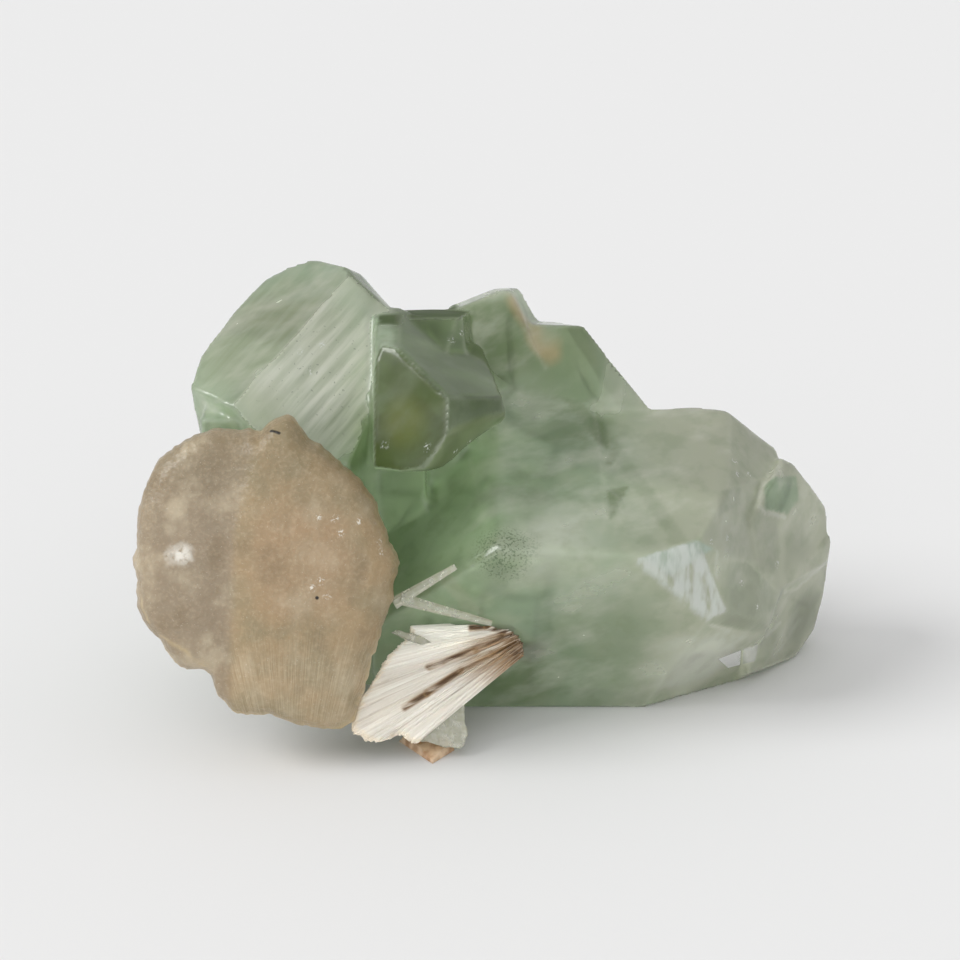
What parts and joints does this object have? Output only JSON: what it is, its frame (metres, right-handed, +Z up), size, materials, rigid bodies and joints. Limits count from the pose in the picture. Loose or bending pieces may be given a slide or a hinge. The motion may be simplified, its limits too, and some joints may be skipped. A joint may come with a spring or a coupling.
{
  "type": "apophyllite specimen",
  "caption": "Cluster of cloudy green apophyllite crystals carrying a peach stilbite sheaf and a white scolecite spray; a display stone that stands on its flat base.",
  "frame": {"origin": "on the resting plane, under the middle of the specimen's bounding box", "axes": "+X along the cluster from the stilbite sheaf to the free end of the large crystal, +Y away from the viewer, +Z up"},
  "size_m": [0.0778, 0.0448, 0.0474],
  "materials": {
    "apophyllite": "cloudy see-through green with a glassy surface",
    "stilbite": "pearly peach with fine striations",
    "scolecite": "silky white needles, brown near the apex",
    "clear_scolecite": "clear and slightly frosted",
    "tan_mineral": "dull tan"
  },
  "bodies": {
    "root": {"apophyllite_cluster": "apophyllite", "stilbite_sheaf": "stilbite", "scolecite_spray": "scolecite", "scolecite_needles": "clear_scolecite", "tan_splinter": "tan_mineral"}
  },
  "joints": []
}
